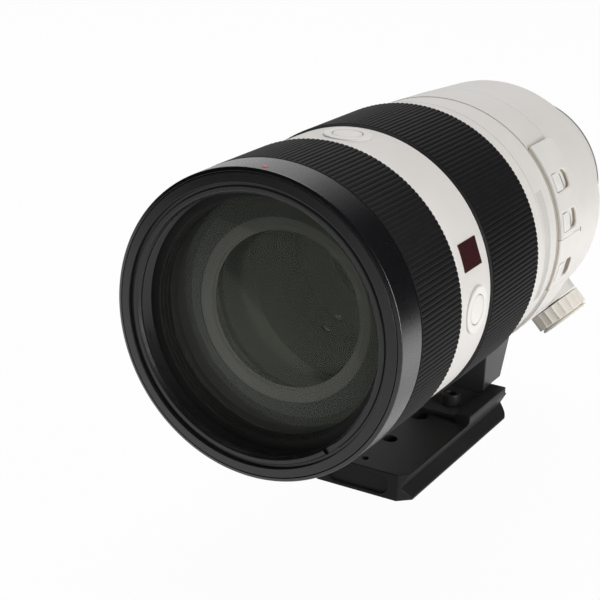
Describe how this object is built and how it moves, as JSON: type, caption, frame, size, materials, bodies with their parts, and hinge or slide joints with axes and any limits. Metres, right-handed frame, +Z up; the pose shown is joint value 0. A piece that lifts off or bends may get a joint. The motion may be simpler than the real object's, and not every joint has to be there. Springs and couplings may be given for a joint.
{
  "type": "camera zoom lens",
  "caption": "Telephoto zoom lens with ribbed focus and zoom rings, hold buttons, switch panel, bayonet mount, rotating tripod collar with lock knob, and a dovetail foot.",
  "frame": {"origin": "on the optical axis, in the plane of the rear mount flange", "axes": "+Y along the optical axis towards the camera, so the front looks along -Y; +Z up, away from the foot; +X to the side of the switch panel and the lock knob"},
  "size_m": [0.0922, 0.2055, 0.1261],
  "materials": {
    "black_shell": "satin",
    "black_plastic": "matte",
    "baffle_grey": "matte",
    "grip_rubber": "matte",
    "pale_shell": "satin",
    "pale_plastic": "satin",
    "coated_glass": "polished",
    "cam_alloy": "satin",
    "follower_brass": "satin",
    "bright_steel": "satin",
    "blade_steel": "matte",
    "coil_copper": "satin",
    "foot_alloy": "satin",
    "screw_black": "satin",
    "badge_red": "gloss",
    "dot_red": "gloss",
    "dot_white": "gloss",
    "board_green": "matte",
    "liner_grey": "matte"
  },
  "bodies": {
    "collar": {"collar_ring": "pale_shell", "collar_liner": "liner_grey", "foot_post": "foot_alloy", "foot_plate": "foot_alloy", "foot_screws": "screw_black"},
    "lock_knob": {"lock_knob": "pale_plastic"},
    "barrel": {"main_tube": "black_shell", "fixed_ring": "pale_shell", "rear_barrel": "pale_shell", "switch_panel": "pale_plastic", "optics_tube": "black_plastic", "guide_rods": "bright_steel", "iris_unit": "black_plastic", "iris_blades": "blade_steel", "focus_magnet": "bright_steel", "steady_frame": "black_plastic", "tail_barrel": "pale_shell", "rear_cell": "black_plastic", "rear_glass": "coated_glass", "main_board": "board_green", "mount_ring": "bright_steel", "mount_screws": "bright_steel", "contact_block": "black_plastic", "mount_seal": "grip_rubber", "mount_index_dot": "dot_white"},
    "zoom_ring": {"zoom_sleeve": "black_plastic", "zoom_grip": "grip_rubber", "cam_tube": "cam_alloy", "zoom_key": "bright_steel"},
    "front_group": {"front_barrel": "black_shell", "filter_ring": "black_shell", "retaining_ring": "black_shell", "front_cell": "black_plastic", "front_element": "coated_glass", "baffle_ring": "baffle_grey", "second_element": "coated_glass", "third_element": "coated_glass", "hood_index_dot": "dot_red", "pale_band": "pale_shell", "badge_plate": "badge_red", "button_bezels": "pale_plastic", "extension_tube": "black_shell", "cam_followers": "follower_brass"},
    "focus_ring": {"focus_sleeve": "black_plastic", "focus_grip": "grip_rubber"},
    "button_top": {"hold_button_top": "pale_plastic"},
    "button_right": {"hold_button_right": "pale_plastic"},
    "button_left": {"hold_button_left": "pale_plastic"},
    "torque_ring": {"torque_ring": "pale_plastic"},
    "focus_switch": {"focus_switch": "pale_plastic"},
    "range_switch": {"range_switch": "pale_plastic"},
    "steady_switch": {"steady_switch": "pale_plastic"},
    "variator": {"variator_cell": "black_plastic", "variator_glass": "coated_glass"},
    "focus_group": {"focus_cell": "black_plastic", "focus_glass": "coated_glass", "focus_coil": "coil_copper"},
    "steady_slide": {"steady_slide": "cam_alloy"},
    "steady_cell": {"steady_cell": "black_plastic", "steady_glass": "coated_glass"}
  },
  "joints": [
    {"name": "lens_turn", "type": "hinge", "parent": "collar", "child": "barrel", "pos_m": [0, -0.045, 0], "axis": [0, 1, 0], "continuous": true},
    {"name": "lock_turn", "type": "hinge", "parent": "collar", "child": "lock_knob", "pos_m": [0.03394, -0.0415, -0.03394], "axis": [0.7071, 0, -0.7071], "range_deg": [0, 270]},
    {"name": "zoom_turn", "type": "hinge", "parent": "barrel", "child": "zoom_ring", "pos_m": [0, -0.119, 0], "axis": [0, 1, 0], "range_deg": [0, 90]},
    {"name": "zoom_extend", "type": "slide", "parent": "barrel", "child": "front_group", "axis": [0, -1, 0], "range_m": [0, 0.066]},
    {"name": "focus_turn", "type": "hinge", "parent": "front_group", "child": "focus_ring", "pos_m": [0, -0.174, 0], "axis": [0, 1, 0], "continuous": true},
    {"name": "button_top_press", "type": "slide", "parent": "front_group", "child": "button_top", "axis": [0, 0, -1], "range_m": [0, 0.0007], "stiffness_N_per_m": 600, "springref_m": -0.0004},
    {"name": "button_right_press", "type": "slide", "parent": "front_group", "child": "button_right", "axis": [-1, 0, 0], "range_m": [0, 0.0007], "stiffness_N_per_m": 600, "springref_m": -0.0004},
    {"name": "button_left_press", "type": "slide", "parent": "front_group", "child": "button_left", "axis": [1, 0, 0], "range_m": [0, 0.0007], "stiffness_N_per_m": 600, "springref_m": -0.0004},
    {"name": "torque_turn", "type": "hinge", "parent": "barrel", "child": "torque_ring", "pos_m": [0, -0.086, 0], "axis": [0, 1, 0], "range_deg": [0, 60]},
    {"name": "focus_switch_slide", "type": "slide", "parent": "barrel", "child": "focus_switch", "axis": [0, 1, 0], "range_m": [0, 0.0054]},
    {"name": "range_switch_slide", "type": "slide", "parent": "barrel", "child": "range_switch", "axis": [0, 1, 0], "range_m": [0, 0.0054]},
    {"name": "steady_switch_slide", "type": "slide", "parent": "barrel", "child": "steady_switch", "axis": [0, 1, 0], "range_m": [0, 0.0054]},
    {"name": "variator_travel", "type": "slide", "parent": "barrel", "child": "variator", "axis": [0, 1, 0], "range_m": [0, 0.018]},
    {"name": "focus_travel", "type": "slide", "parent": "barrel", "child": "focus_group", "axis": [0, 1, 0], "range_m": [-0.004, 0.004]},
    {"name": "steady_across", "type": "slide", "parent": "barrel", "child": "steady_slide", "axis": [1, 0, 0], "range_m": [-0.001, 0.001]},
    {"name": "steady_up", "type": "slide", "parent": "steady_slide", "child": "steady_cell", "axis": [0, 0, 1], "range_m": [-0.001, 0.001]}
  ],
  "couplings": [
    {"joint": "zoom_extend", "follows": "zoom_turn", "m_per_rad": 0.042016},
    {"joint": "variator_travel", "follows": "zoom_turn", "m_per_rad": 0.011459}
  ]
}
